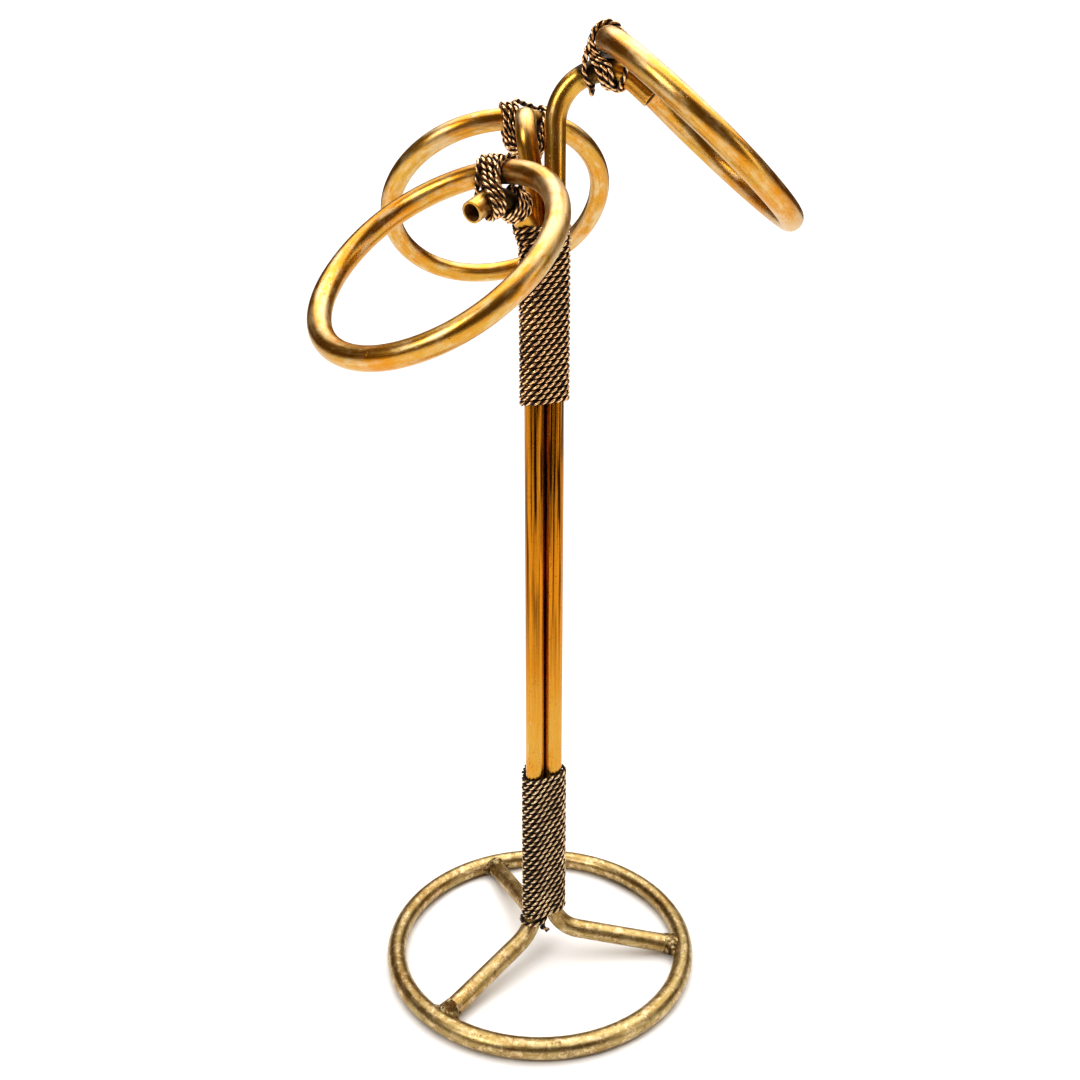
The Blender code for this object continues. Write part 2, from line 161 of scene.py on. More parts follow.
def arm_frame(spec, travel):
    """Place, outward tangent and upward normal of the arm's axis after some travel."""
    radius, sweep = spec["hook_r"] * MM, math.radians(spec["sweep"])
    turn = min(sweep, travel / radius)
    run = max(0.0, travel - radius * sweep)
    out = radius * (1 - math.cos(turn)) + run * math.sin(turn)
    height = spec["hook_z"] * MM + radius * math.sin(turn) + run * math.cos(turn)
    way = heading(spec["arm"])
    tangent = way * math.sin(turn) + UP * math.cos(turn)
    normal = UP * math.sin(turn) - way * math.cos(turn)
    leaning = lean(spec, height) if turn < math.pi / 2 else lean(spec, math.inf)
    return seat(spec) + leaning + way * out + UP * height, tangent, normal


def crossing(spec):
    """Point of the ring's axis that lies over the arm's."""
    place, _, normal = arm_frame(spec, arm_turn_at(spec, spec["lash"] * MM))
    return place + normal * STACK


def ring_axes(spec):
    """Directions of a ring: down its slope, level across it, and square to its plane."""
    slope = math.radians(spec["slope"])
    way = heading(spec["facing"])
    down = way * math.cos(slope) - UP * math.sin(slope)
    side = UP.cross(way)
    return down, side, down.cross(side)


def ring_spoke(spec, turn):
    """Unit vectors out from the ring's centre, turned from its highest point, and along its bar."""
    down, side, _ = ring_axes(spec)
    spoke = side * math.sin(turn) - down * math.cos(turn)
    return spoke, side * math.cos(turn) + down * math.sin(turn)


def ring_centre(spec):
    spoke, _ = ring_spoke(spec, math.radians(spec["round"]))
    return crossing(spec) - spoke * spec["ring_r"] * MM


def foot_flat(spec, steps=14):
    """Foot axis from its tip to the bottom of the stem, as reach and height."""
    way = heading(spec["foot"])
    start = seat(spec) - BASE_CENTRE
    along = start.dot(way)
    tip = -along + math.sqrt(along ** 2 + sizes().base ** 2 - start.length_squared)
    tip -= sizes().hoop + GAP
    turn = math.pi / 2 - FOOT_SLOPE
    bend_out = FOOT_BEND_R * (1 - math.cos(turn))
    bend_z = FOOT_JOINT_Z + (tip - bend_out) * math.tan(FOOT_SLOPE) + FOOT_BEND_R * math.sin(turn)
    flat = []
    for step in range(6):
        part = step / 6
        flat.append((tip + (bend_out - tip) * part,
                     FOOT_JOINT_Z + (tip - bend_out) * part * math.tan(FOOT_SLOPE)))
    for step in range(steps + 1):
        angle = turn * (1 - step / steps)
        flat.append((FOOT_BEND_R * (1 - math.cos(angle)), bend_z - FOOT_BEND_R * math.sin(angle)))
    return flat


def tube_route(spec):
    """Whole axis of a stand tube, from the foot's tip to the arm's cut end."""
    way = heading(spec["foot"])
    points = [seat(spec) + way * out + UP * height for out, height in foot_flat(spec)]
    low, high = points[-1].z, spec["hook_z"] * MM
    steps = 36
    for step in range(1, steps):
        height = low + (high - low) * step / steps
        points.append(seat(spec) + lean(spec, height) + UP * height)
    total = arm_turn_at(spec, spec["reach"] * MM)
    steps = 40
    points += [arm_frame(spec, total * step / steps)[0] for step in range(steps + 1)]
    return points


def axis_at(spec, height):
    """Level place of a tube's axis at a height near the stem, bends included."""
    foot = foot_flat(spec)
    bend_z = foot[-1][1]
    if height < bend_z:
        drop = min(bend_z - height, 0.95 * FOOT_BEND_R)
        out = FOOT_BEND_R - math.sqrt(FOOT_BEND_R ** 2 - drop ** 2)
        return seat(spec) + heading(spec["foot"]) * out
    radius = spec["hook_r"] * MM
    rise = min(max(height - spec["hook_z"] * MM, 0.0), radius)
    out = radius - math.sqrt(radius ** 2 - rise ** 2)
    return seat(spec) + lean(spec, height) + heading(spec["arm"]) * out


def resampled(points, step, closed=False):
    """Points at even spacing along a smooth curve through the given ones."""
    count = len(points)
    fine = []
    spans = count if closed else count - 1
    for index in range(spans):
        if closed:
            a, b, c, d = (points[(index + k) % count] for k in (-1, 0, 1, 2))
        else:
            a, b, c, d = (points[min(max(index + k, 0), count - 1)] for k in (-1, 0, 1, 2))
        for part in range(12):
            t = part / 12
            fine.append(0.5 * (2 * b + (c - a) * t + (2 * a - 5 * b + 4 * c - d) * t ** 2
                               + (3 * b - a - 3 * c + d) * t ** 3))
    fine.append(points[0] if closed else points[-1])
    even, left = [fine[0]], step
    for before, after in zip(fine, fine[1:]):
        gap = (after - before).length
        while gap >= left:
            before = before.lerp(after, left / gap)
            even.append(before)
            gap -= left
            left = step
        left -= gap
    return even


def carried_frames(route):
    """A matrix at each point whose Z follows the route, carried along without twisting."""
    frames = []
    tangent = (route[1] - route[0]).normalized()
    across = tangent.orthogonal().normalized()
    for index, place in enumerate(route):
        before, after = route[max(index - 1, 0)], route[min(index + 1, len(route) - 1)]
        turned = (after - before).normalized()
        across = tangent.rotation_difference(turned) @ across
        across = (across - turned * across.dot(turned)).normalized()
        tangent = turned
        rows = Matrix((across, tangent.cross(across), tangent)).transposed().to_4x4()
        frames.append(Matrix.Translation(place) @ rows)
    return frames


# ---------------------------------------------------------------- finishes
# Heights in metres between which the look of the stand tubes changes.
FEET_END = (0.035, 0.07)
STEM_STARTS = (0.10, 0.20)
STEM_ENDS = (0.29, 0.32)
LINES_START = (0.10, 0.25)

FINISHES = {}


class Maths:
    """A shader socket with Python's operators; an expression adds its Math nodes."""

    def __init__(self, tree, socket):
        self.tree = tree
        self.socket = socket

    def node(self, kind, inputs=None, output=0, **settings):
        """Add one node: its settings first, then the values or links of its sockets."""
        made = self.tree.nodes.new(kind)
        for key, value in settings.items():
            setattr(made, key, value)
        for key, value in (inputs or {}).items():
            socket = made.inputs[key]
            if isinstance(value, Maths):
                self.tree.links.new(value.socket, socket)
            else:
                socket.default_value = value
        return Maths(self.tree, made.outputs[output])

    def _math(self, operation, *values):
        return self.node("ShaderNodeMath", dict(enumerate(values)), operation=operation)

    def __add__(self, other):
        return self._math("ADD", self, other)

    def __radd__(self, other):
        return self._math("ADD", other, self)

    def __sub__(self, other):
        return self._math("SUBTRACT", self, other)

    def __rsub__(self, other):
        return self._math("SUBTRACT", other, self)

    def __mul__(self, other):
        return self._math("MULTIPLY", self, other)

    def __rmul__(self, other):
        return self._math("MULTIPLY", other, self)

    def band(self, low, high):
        """0 below low, 1 above high, smooth between."""
        return self.node("ShaderNodeMapRange", {"Value": self, "From Min": low, "From Max": high},
                         interpolation_type="SMOOTHSTEP")

    def mix(self, first, second):
        """Blend two colours by this value."""
        made = self.node("ShaderNodeMix", None, 2, data_type="RGBA")
        node = made.socket.node
        self.tree.links.new(self.socket, node.inputs["Factor"])
        for socket, tone in ((node.inputs[6], first), (node.inputs[7], second)):
            if isinstance(tone, Maths):
                self.tree.links.new(tone.socket, socket)
            else:
                socket.default_value = (*tone, 1.0)
        return made

    def stretch(self, scale):
        return self.node("ShaderNodeVectorMath", {0: self, 1: scale}, operation="MULTIPLY")

    def noise(self, scale, detail=3.0, rough=0.55):
        return self.node("ShaderNodeTexNoise", {"Vector": self, "Scale": scale, "Detail": detail,
                                                "Roughness": rough})

    def cells(self, scale):
        return self.node("ShaderNodeTexVoronoi", {"Vector": self, "Scale": scale})


def new_material(name):
    """A material with an empty Principled shader, and the wrapper and shader to fill it."""
    made = bpy.data.materials.new(name)
    made.use_nodes = True
    tree = made.node_tree
    tree.nodes.clear()
    shader = tree.nodes.new("ShaderNodeBsdfPrincipled")
    end = tree.nodes.new("ShaderNodeOutputMaterial")
    tree.links.new(shader.outputs["BSDF"], end.inputs["Surface"])
    return made, Maths(tree, None), shader


def feed(shader, maths, colour_value, rough, metal, height, strength, reach):
    """Link a finish's colour, roughness, metal and bump into its shader."""
    bump = maths.node("ShaderNodeBump", {"Height": height, "Strength": strength, "Distance": reach})
    tree = maths.tree
    tree.links.new(colour_value.socket, shader.inputs["Base Color"])
    tree.links.new(rough.socket, shader.inputs["Roughness"])
    if isinstance(metal, Maths):
        tree.links.new(metal.socket, shader.inputs["Metallic"])
    else:
        shader.inputs["Metallic"].default_value = metal
    tree.links.new(bump.socket, shader.inputs["Normal"])


def brass(name, main, deep, wear_level, patina_level, gloss, pitting, streaked=False):
    """Aged brass: tone drifts along it, wear and patina in patches, draw marks and pits, and soot
    with painted shade round the lashings.

    Streaked adds the stand tubes' lacquered stem, whose dark lengthwise lines are tarnish and a
    painted reflection of a dark room, and their dull, spotted feet."""
    made, maths, shader = new_material(name)
    tones = colours()
    skin = maths.node("ShaderNodeAttribute", None, 1, attribute_name="skin")
    place = maths.node("ShaderNodeTexCoord", None, 3)
    bare = maths.node("ShaderNodeAttribute", None, 2, attribute_name="bare")
    soot = maths.node("ShaderNodeAttribute", None, 2, attribute_name="soot")
    streaks = skin.stretch((60.0, 900.0, 900.0)).noise(1.0, 4.0, 0.6)
    hair = skin.stretch((140.0, 4200.0, 4200.0)).noise(1.0, 3.0, 0.7)
    clouds = place.noise(38.0, 4.0, 0.6)
    patches = skin.stretch((75.0 + 45.0 * pitting, 230.0, 230.0)).noise(1.0, 5.0, 0.65)
    grime = place.noise(170.0, 5.0, 0.72)
    flecks = place.noise(900.0, 3.0, 0.7)
    pits = place.cells(620.0)
    pit_mask = (0.24 - pits).band(0.0, 0.12) * place.noise(90.0, 3.0, 0.6).band(0.47, 0.62)
    tone = (clouds * 0.55 + streaks * 0.45).band(0.34, 0.62)
    base = tone.mix(getattr(tones, deep), getattr(tones, main))
    rubbed = patches * 0.7 + streaks * 0.2 + flecks * 0.1 + bare * 0.14
    spotted = pitting * 0.9
    if streaked:
        up = maths.node("ShaderNodeSeparateXYZ", {0: place}, 2)
        stem = up.band(*STEM_STARTS) * (1.0 - up.band(*STEM_ENDS))
        foot = 1.0 - up.band(*FEET_END)
        # Dark lengthwise lines on the stem, coming in between 0.10 and 0.25 m and stronger above:
        # tarnish and a painted reflection of a dark room.
        lines = skin.stretch((11.0, 1150.0, 1150.0)).noise(1.0, 3.0, 0.6)
        base = (stem * 0.95).mix(base, tones.amber)
        base = (stem * lines.band(0.46, 0.56) * up.band(*LINES_START)).mix(base, tones.tarnish_and_reflection)
        base = (foot * 0.92).mix(base, tone.mix(tones.ochre, tones.olive))
        rubbed = rubbed - stem * 0.12 + foot * 0.05
        grime = grime + foot * 0.06
        gloss = foot * 0.12 + gloss
        spotted = foot * 0.9
    worn = rubbed.band(0.50 - wear_level, 0.70 - wear_level)
    base = (worn * 0.72).mix(base, tones.cream)
    # Brown patina in patches, a little deeper with the soot and painted shade round the lashings.
    dirt_and_shade = (grime * 0.65 + clouds * 0.35 + soot * 0.16).band(0.60 - patina_level,
                                                              0.74 - patina_level)
    base = (dirt_and_shade * 0.8).mix(base, tones.brown)
    base = (pit_mask * pitting).mix(base, tones.brown)
    if pitting > 0.9 or streaked:
        pale_spots = place.noise(230.0, 6.0, 0.8).band(0.50, 0.60)
        dark_spots = place.noise(310.0, 6.0, 0.8).band(0.53, 0.62)
        base = (pale_spots * spotted * 0.6).mix(base, tones.silver)
        base = (dark_spots * spotted * 0.75).mix(base, tones.umber)
    # Black in patches of grime, and as soot with painted shade round the lashings.
    black = (soot + (grime - 0.5) * 0.9).band(0.45, 0.85)
    base = (black * 0.9).mix(base, tones.black)
    rough = (gloss + dirt_and_shade * 0.24 + worn * 0.12 + bare * 0.06 + black * 0.3
             + pit_mask * 0.25 + (streaks - 0.5) * 0.14)
    height = hair * 0.25 + streaks * 0.35 + grime * 0.35 * pitting - pit_mask * 1.1 * pitting
    height = height + grime * bare * 0.5
    feed(shader, maths, base, rough, 1.0, height, 0.35 + 0.25 * pitting, 0.22 * MM)
    shader.inputs["Coat Weight"].default_value = 0.12 * (1 - 0.6 * pitting)
    shader.inputs["Coat Roughness"].default_value = 0.28
    return made


def bore_finish(name):
    """Inside of a cut tube: dull rust-brown scale."""
    made, maths, shader = new_material(name)
    tones = colours()
    place = maths.node("ShaderNodeTexCoord", None, 3)
    scale = place.noise(800.0, 4.0, 0.7)
    base = scale.band(0.38, 0.62).mix(tones.brown, tones.rust)
    feed(shader, maths, base, 0.65 + scale * 0.3, 0.2, scale, 0.6, 0.3 * MM)
    return made


def braze_finish(name):
    """Rough braze: dull brown metal with scale, bright flecks and deep pits."""
    made, maths, shader = new_material(name)
    tones = colours()
    place = maths.node("ShaderNodeTexCoord", None, 3)
    lumps = place.noise(260.0, 5.0, 0.7)
    scale = place.noise(1100.0, 4.0, 0.75)
    holes = (0.30 - place.cells(420.0)).band(0.0, 0.15)
    base = lumps.band(0.42, 0.62).mix(tones.brown, tones.olive)
    base = (scale * lumps.band(0.45, 0.6)).band(0.34, 0.55).mix(base, tones.cream)
    base = (holes * 0.9).mix(base, tones.black)
    rough = 0.42 + lumps * 0.3 + holes * 0.2
    height = lumps * 0.8 + scale * 0.35 - holes * 0.9
    feed(shader, maths, base, rough, 0.9 - holes * 0.6, height, 0.8, 0.6 * MM)
    return made


def wire_finish(name, rubbed):
    """Twisted wire: painted shade in black in the grooves and on sides facing inward, brown strands,
    crowns rubbed to copper and gold with a painted highlight.
    """
    made, maths, shader = new_material(name)
    tones = colours()
    lit_crown = maths.node("ShaderNodeAttribute", None, 2, attribute_name="lit_crown")
    place = maths.node("ShaderNodeTexCoord", None, 3)
    smear = place.noise(420.0, 4.0, 0.65)
    drift = place.noise(60.0, 3.0, 0.6)
    # Black in the grooves and on sides facing inward is painted shade; the bright crowns are rubbed
    # wear with a painted highlight.
    lift = lit_crown + (smear - 0.5) * 0.45 + (drift - 0.5) * 0.35
    base = lift.band(0.56, 0.78).mix(tones.black, tones.strand)
    base = lift.band(0.70, 0.94).mix(base, getattr(tones, rubbed))
    rough = 0.60 - lift.band(0.55, 0.95) * 0.34
    height = smear * 0.5 + place.noise(2600.0, 2.0, 0.6) * 0.3
    feed(shader, maths, base, rough, lift.band(0.54, 0.76), height, 0.35, 0.1 * MM)
    return made


def finishes():
    """Every finish by name, made once."""
    made = {
        "ring": lambda: brass("ring_brass", "gold", "amber", wear_level=0.04,
                              patina_level=-0.04, gloss=0.285, pitting=0.45),
        "tube": lambda: brass("tube_brass", "gold", "amber", wear_level=-0.03,
                              patina_level=-0.03, gloss=0.27, pitting=0.35, streaked=True),
        "base": lambda: brass("base_brass", "olive", "ochre", wear_level=0.01,
                              patina_level=0.035, gloss=0.34, pitting=1.0),
        "braze": lambda: braze_finish("braze_metal"),
        "bore": lambda: bore_finish("bore_rust"),
        "wire": lambda: wire_finish("twisted_wire", "lit_crown"),
        "pale_wire": lambda: wire_finish("rubbed_wire", "silver"),
    }
    for name, make in made.items():
        if name not in FINISHES:
            FINISHES[name] = make()
    return FINISHES


# ---------------------------------------------------------------- pieces
BAR_SIDES = 30                  # faces round a tube, a ring or the base ring
RING_STEPS = 220                # sections round a ring
BASE_STEPS = 300                # sections round the base ring
BINDING_STEP = 0.62 * MM        # spacing of points along the wire of a binding
LASHING_STEP = 0.6 * MM         # and along the wire of a lashing
STRAND_R = 0.53                 # a strand's radius, as a share of the wire's
STRAND_OFFSET = 0.5             # how far its centre lies from the wire's, as a share of the same
WEB_BEADS = 15                  # beads of braze along the base ring
COLLAR_BEADS = 9                # beads of braze round the foot
BRAZE_GRAIN = 0.4 * MM          # size of the voxels that grow the beads together
BRAZE_SEED = 7                  # gives the same lumps each run

# Where each ring is rubbed bare: how far round from its highest point, reach in mm and strength.
RING_WEAR = {
    "low": [(55, 27, 1.0), (82, 27, 0.9), (-135, 18, 0.7), (8, 16, 0.6)],
    "middle": [(-110, 30, 0.7), (40, 22, 0.5)],
    "high": [(180, 26, 0.8), (20, 18, 0.6), (-60, 22, 0.4)],
}
# Where each arm is rubbed bare: travel in mm from its lashing, reach in mm and strength.
ARM_WEAR = {
    "low": [(16, 9, 1.0)],
    "middle": [(-24, 17, 1.0), (-10, 17, 1.0), (6, 14, 1.0)],
    "high": [(-26, 14, 0.4), (16, 10, 0.8)],
}


def sizes():
    return bpy.context.scene.stand_sizes


def colours():
    return bpy.context.scene.stand_colours


def finish_piece(name, mesh, finish, body, nodes):
    """Put a mesh in the scene, smooth, on its body, in place of its nodes.

    A mesh that already has its finishes comes with a finish of None."""
    if finish:
        mesh.materials.clear()
        mesh.materials.append(finishes()[finish])
    mesh.polygons.foreach_set("use_smooth", [True] * len(mesh.polygons))
    piece = bpy.data.objects.new(name, mesh)
    bpy.context.scene.collection.objects.link(piece)
    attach(piece, body)
    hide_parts(*nodes)


def applied(mesh, *modifiers):
    """A copy of a mesh with modifiers run on it; each is its type and its settings."""
    holder = bpy.data.objects.new("holder", mesh)
    bpy.context.scene.collection.objects.link(holder)
    for index, (kind, settings) in enumerate(modifiers):
        modifier = holder.modifiers.new(f"step_{index}", kind)
        for key, value in settings.items():
            setattr(modifier, key, value)
    graph = bpy.context.evaluated_depsgraph_get()
    made = bpy.data.meshes.new_from_object(holder.evaluated_get(graph))
    bpy.data.objects.remove(holder, do_unlink=True)
    return made


def age(mesh, **spots):
    """Mark a mesh round given spots, each a place, a reach and a strength, fading outward."""
    for name, marks in spots.items():
        values = []
        for vert in mesh.vertices:
            nearest = 0.0
            for place, reach, strength in marks:
                part = max(0.0, 1 - (vert.co - place).length / reach)
                nearest = max(nearest, strength * part * part * (3 - 2 * part))
            values.append(nearest)
        mesh.attributes.new(name, "FLOAT", "POINT").data.foreach_set("value", values)


def hoop_mesh(name, radius, bar, steps, place, wobble, seed):
    """Hand-bent ring: a section spun round, its skin mapped, then nudged out of true.

    It stays true near half a turn, where a ring is lashed to its arm."""
    bm = bmesh.new()
    section = bmesh.ops.create_circle(bm, segments=BAR_SIDES, radius=bar)
    stand = Matrix.Translation((radius, 0, 0)) @ Matrix.Rotation(math.pi / 2, 4, "X")
    bmesh.ops.transform(bm, matrix=stand, verts=section["verts"])
    bmesh.ops.spin(bm, geom=list(bm.verts) + list(bm.edges), axis=(0, 0, 1), angle=2 * math.pi,
                   steps=steps, use_merge=True)
    bmesh.ops.remove_doubles(bm, verts=bm.verts, dist=1e-6)
    bmesh.ops.recalc_face_normals(bm, faces=bm.faces)
    skin = bm.loops.layers.float_vector.new("skin")
    for face in bm.faces:
        middle = face.calc_center_median()
        turn = math.atan2(middle.y, middle.x)
        for loop in face.loops:
            co = loop.vert.co
            angle = math.atan2(co.y, co.x)
            angle += 2 * math.pi * round((turn - angle) / (2 * math.pi))
            loop[skin] = (angle * radius, math.hypot(co.x, co.y) - radius, co.z)
    for vert in bm.verts:
        angle = math.atan2(vert.co.y, vert.co.x)
        out = Vector((math.cos(angle), math.sin(angle), 0))
        drift = noise.noise(out * 1.3 + Vector((seed, 0, 0))) * wobble
        lift = noise.noise(out * 1.1 + Vector((0, seed, 5))) * wobble * 0.7
        fade = min(1.0, abs(math.remainder(angle - math.pi, 2 * math.pi)) / 0.5)
        vert.co += (out * drift + UP * lift) * fade
    bm.transform(place)
    mesh = bpy.data.meshes.new(name)
    bm.to_mesh(mesh)
    bm.free()
    return mesh


def tube_mesh(name, route, bar):
    """Open tube drawn along a route: each step extrudes the last section and moves it on."""
    bm = bmesh.new()
    skin = bm.verts.layers.float_vector.new("skin")
    frames = carried_frames(route)
    verts = bmesh.ops.create_circle(bm, segments=BAR_SIDES, radius=bar,
                                    matrix=frames[0])["verts"]
    edges = list(bm.edges)
    travel = 0.0
    for vert in verts:
        local = frames[0].inverted() @ vert.co
        vert[skin] = (0.0, local.x, local.y)
    for before, after in zip(frames, frames[1:]):
        travel += (after.translation - before.translation).length
        grown = bmesh.ops.extrude_edge_only(bm, edges=edges)["geom"]
        verts = [item for item in grown if isinstance(item, bmesh.types.BMVert)]
        fresh = set(verts)
        edges = [item for item in grown
                 if isinstance(item, bmesh.types.BMEdge) and fresh.issuperset(item.verts)]
        bmesh.ops.transform(bm, matrix=after @ before.inverted(), verts=verts)
        back = after.inverted()
        for vert in verts:
            local = back @ vert.co
            vert[skin] = (travel, local.x, local.y)
    bmesh.ops.recalc_face_normals(bm, faces=bm.faces)
    mesh = bpy.data.meshes.new(name)
    bm.to_mesh(mesh)
    bm.free()
    return mesh


def wire_mesh(name, route, outward, shaded=0.38):
    """Two-strand wire laid along a route, with an attribute for its painted shade and highlight: how
    far a point lies out on a strand and faces outward.
    """
    wire, lay = sizes().wire, sizes().lay
    curve = bpy.data.curves.new(name, "CURVE")
    curve.dimensions = "3D"
    curve.bevel_depth = wire * STRAND_R
    curve.bevel_resolution = 2
    curve.use_fill_caps = True
    frames = carried_frames(route)
    step = (route[1] - route[0]).length
    for strand in (0, 1):
        spline = curve.splines.new("POLY")
        spline.points.add(len(route) - 1)
        for index, (point, spot) in enumerate(zip(spline.points, frames)):
            phase = -2 * math.pi * index * step / lay + math.pi * strand
            local = Vector((math.cos(phase), math.sin(phase), 0)) * wire * STRAND_OFFSET
            point.co = (*(spot @ local), 1.0)
    holder = bpy.data.objects.new(name, curve)
    bpy.context.scene.collection.objects.link(holder)
    graph = bpy.context.evaluated_depsgraph_get()
    mesh = bpy.data.meshes.new_from_object(holder.evaluated_get(graph))
    bpy.data.objects.remove(holder, do_unlink=True)
    tree = kdtree.KDTree(len(route))
    for index, place in enumerate(route):
        tree.insert(place, index)
    tree.balance()
    # Painted shade and highlight: a point deep in a groove or facing inward scores low and its finish
    # paints it dark; a point out on a crown facing outward scores high and is painted bright.
    values = []
    for vert in mesh.vertices:
        place, _, _ = tree.find(vert.co)
        out = (vert.co - place) / (wire * (STRAND_R + STRAND_OFFSET))
        values.append(out.length * (1 - shaded + shaded * out.normalized().dot(outward(place))))
    lit_crown = mesh.attributes.new("lit_crown", "FLOAT", "POINT")
    lit_crown.data.foreach_set("value", values)
    return mesh


def build_rings():
    """The three rings, rubbed bare in places, with soot and painted shade beside their lashings."""
    for index, (name, spec) in enumerate(TUBES.items()):
        rows = Matrix(ring_axes(spec)).transposed().to_4x4()
        centre, radius = ring_centre(spec), spec["ring_r"] * MM
        mesh = hoop_mesh(f"{name}_ring", radius, sizes().hoop, RING_STEPS,
                         Matrix.Translation(centre) @ rows, wobble=0.5 * MM,
                         seed=3.0 + index * 7)
        bare = [(centre + ring_spoke(spec, math.radians(turn))[0] * radius, reach * MM, strength)
                for turn, reach, strength in RING_WEAR[name]]
        # Soot with painted shade round the lashing, where the ring meets its arm.
        age(mesh, bare=bare, soot=[(Crossing(spec).at(0, 0, RING_UP / 2), 24 * MM, 1.0)])
        finish_piece(f"{name}_ring", mesh, "ring", f"{name}_ring", [f"ring_{name}"])


def build_base_ring():
    """The base ring, trimmed flat where it meets the floor."""
    place = Matrix.Translation(BASE_CENTRE + UP * sizes().hoop)
    mesh = hoop_mesh("base_hoop", sizes().base, sizes().hoop, BASE_STEPS, place, wobble=0.0,
                     seed=11.0)
    for vert in mesh.vertices:
        vert.co.z = max(vert.co.z, 0.0)
    finish_piece("base_hoop", mesh, "base", "stand", ["base_ring"])


def build_tubes():
    """The three bent tubes, open at both ends, with a rusty bore and softened rims."""
    for name, spec in TUBES.items():
        skin = tube_mesh(f"{name}_tube", tube_route(spec), sizes().tube)
        lash = arm_turn_at(spec, spec["lash"] * MM)
        bare = [(arm_frame(spec, lash + travel * MM)[0], reach * MM, strength)
                for travel, reach, strength in ARM_WEAR[name]]
        # Soot with painted shade round the lashing, where the arm meets its ring.
        age(skin, bare=bare, soot=[(Crossing(spec).at(-4, 0, RING_UP / 4), 23 * MM, 1.0)])
        for finish in ("tube", "bore"):
            skin.materials.append(finishes()[finish])
        wall = ("SOLIDIFY", dict(thickness=sizes().wall, offset=-1, material_offset=1))
        soften = ("BEVEL", dict(width=0.2 * MM, segments=2, limit_method="ANGLE",
                                angle_limit=math.radians(50)))
        mesh = applied(skin, wall, soften)
        finish_piece(f"{name}_tube", mesh, None, "stand", [f"tube_{name}"])


def build_brazes():
    """Braze lumps: collar, webs and beads grown into one skin, then roughened."""
    noise.seed_set(BRAZE_SEED)
    for index, (name, spec) in enumerate(TUBES.items()):
        route = tube_route(spec)
        tip, way = route[0], (route[0] - route[3]).normalized()
        out = heading(spec["foot"])
        ring_way = UP.cross((tip - BASE_CENTRE).normalized())
        bm = bmesh.new()
        spin = UP.rotation_difference(way).to_matrix().to_4x4()
        place = Matrix.Translation(tip - way * 1.6 * MM) @ spin
        bmesh.ops.create_cone(bm, cap_ends=True, segments=32, radius1=4.7 * MM, radius2=5.4 * MM,
                              depth=7.0 * MM, matrix=place)
        for step in range(WEB_BEADS):
            part = step / (WEB_BEADS - 1) * 2 - 1
            shift = noise.noise_vector(Vector((index * 9.0, step * 1.7, 2.0)))
            spot = tip + out * (0.8 + 0.5 * shift.x) * MM + ring_way * part * 7.0 * MM
            spot += UP * (shift.y * 1.6 + 0.6 - 1.2 * abs(part)) * MM
            size = (3.6 - 1.9 * abs(part) + 0.8 * shift.z) * MM
            bmesh.ops.create_icosphere(bm, subdivisions=2, radius=size,
                                       matrix=Matrix.Translation(spot))
        for step in range(COLLAR_BEADS):
            shift = noise.noise_vector(Vector((index * 5.0 + 40, step * 2.3, 7.0)))
            angle = 2 * math.pi * step / COLLAR_BEADS
            ring = ring_way * math.cos(angle) + UP * math.sin(angle)
            spot = tip - way * (2.5 + 1.5 * shift.x) * MM + ring * 4.0 * MM
            bmesh.ops.create_icosphere(bm, subdivisions=2, radius=(1.1 + 0.5 * shift.y) * MM,
                                       matrix=Matrix.Translation(spot))
        mesh = bpy.data.meshes.new(f"{name}_braze")
        bm.to_mesh(mesh)
        bm.free()
        mesh = applied(mesh, ("REMESH", dict(mode="VOXEL", voxel_size=BRAZE_GRAIN)),
                       ("SMOOTH", dict(iterations=4, factor=0.6)))
        for vert in mesh.vertices:
            rough = noise.fractal(vert.co * 420, 0.6, 2.0, 4) * 0.28 * MM
            vert.co += vert.normal * rough
            vert.co.z = max(vert.co.z, 0.05 * MM)
        finish_piece(f"{name}_braze", mesh, "braze", "stand", [f"braze_{name}"])


def hull_turn(height, hug, share):
    """Point and outward normal on the bundle's rounded outline, share of the way round it."""
    centres = sorted((axis_at(spec, height) for spec in TUBES.values()),
                     key=lambda c: math.atan2(c.y - STEM.y, c.x - STEM.x))
    corners = []
    for index, centre in enumerate(centres):
        before, after = centres[index - 1], centres[(index + 1) % 3]
        enter = (centre - before).normalized().cross(UP)
        leave = (after - centre).normalized().cross(UP)
        corners.append((centre, enter, leave))
    lengths = []
    for index, (centre, enter, leave) in enumerate(corners):
        lengths.append(hug * enter.angle(leave))
        lengths.append((corners[(index + 1) % 3][0] - centre).length)
    left = (share % 1.0) * sum(lengths)
    for index, (centre, enter, leave) in enumerate(corners):
        arc, side = lengths[2 * index], lengths[2 * index + 1]
        if left <= arc:
            normal = Matrix.Rotation(left / hug, 3, "Z") @ enter
            return centre + normal * hug, normal
        left -= arc
        if left <= side:
            return centre + leave * hug + (corners[(index + 1) % 3][0] - centre) * left / side, leave
        left -= side
    return corners[0][0] + corners[0][1] * hug, corners[0][1]


def binding_route(low, high, turns, tilt, slack, seed):
    """Close turns of wire round the bundle, rising to the right, slightly uneven."""
    hug = sizes().tube + sizes().wire
    points = []
    per_turn = 90
    for step in range(turns * per_turn + 1):
        round_ = step / per_turn
        height = low + (high - low) * round_ / turns
        height += noise.noise(Vector((seed, round_ * 0.9, 0))) * 0.25 * MM
        near_top = max(0.0, (height - high) / slack + 1) if slack else 0.0
        loose = (0.15 + 0.9 * near_top) * MM
        bulge = (0.5 + 0.5 * noise.noise(Vector((seed, 0, round_ * 2.7)))) * loose
        place, normal = hull_turn(height, hug + bulge * 0.5, round_)
        place.z = height + (place - STEM).x * tilt
        points.append(place)
    return resampled(points, BINDING_STEP)


